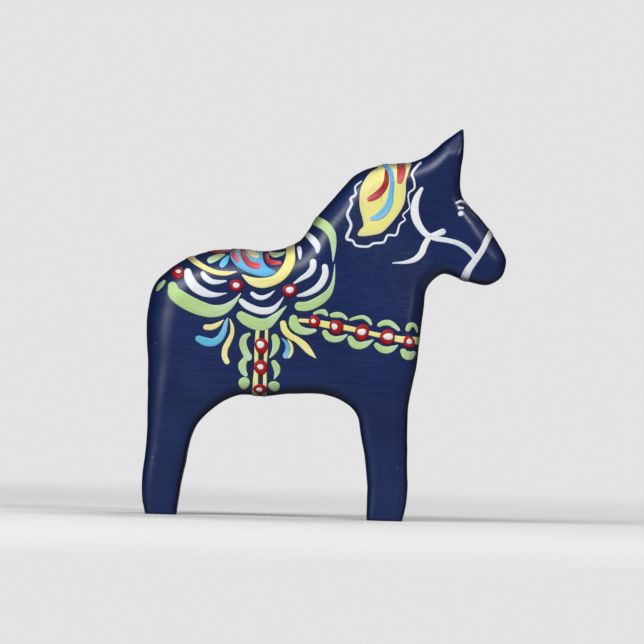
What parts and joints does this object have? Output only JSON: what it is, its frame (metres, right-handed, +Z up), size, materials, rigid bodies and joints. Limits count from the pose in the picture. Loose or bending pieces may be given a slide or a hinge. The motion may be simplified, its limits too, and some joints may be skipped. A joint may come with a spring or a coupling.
{
  "type": "dala horse",
  "caption": "Carved and painted wooden horse on four stub legs, with a pointed-ear head, a kurbits saddle, collar, girth and bridle in raised brushwork.",
  "frame": {"origin": "on the ground under the middle of the horse, level with its soles", "axes": "+Z up, +X from rump to muzzle, +Y towards the horse's left flank"},
  "size_m": [0.1178, 0.0408, 0.1303],
  "materials": {
    "pine": "bare sanded pine, seen only on the four sawn soles",
    "navy_paint": "semi-gloss dipped base coat",
    "white_paint": "semi-gloss brushed enamel",
    "yellow_paint": "semi-gloss brushed enamel",
    "green_paint": "semi-gloss brushed enamel",
    "blue_paint": "semi-gloss brushed enamel",
    "red_paint": "semi-gloss brushed enamel"
  },
  "bodies": {
    "root": {"pine_body": "pine", "blue_coat": "navy_paint", "mane_panel": "yellow_paint", "mane_panel_red_strokes": "red_paint", "mane_panel_blue_stroke": "blue_paint", "mane_scallop_line": "white_paint", "bridle_cheek_straps": "white_paint", "bridle_noseband": "white_paint", "eye_marks": "white_paint", "saddle_rim": "yellow_paint", "saddle_flower_field": "blue_paint", "saddle_flower_red": "red_paint", "saddle_flower_yellow": "yellow_paint", "saddle_leaves": "green_paint", "saddle_scallops_white": "white_paint", "saddle_scallops_green": "green_paint", "saddle_rosettes": "red_paint", "saddle_rosette_centres": "white_paint", "tassels_yellow": "yellow_paint", "tassels_blue": "blue_paint", "collar_strap": "yellow_paint", "collar_leaves": "green_paint", "collar_rosettes": "red_paint", "collar_rosette_centres": "white_paint", "girth_straps": "yellow_paint", "girth_leaves": "green_paint", "girth_rosettes": "red_paint", "girth_rosette_centres": "white_paint"}
  },
  "joints": []
}
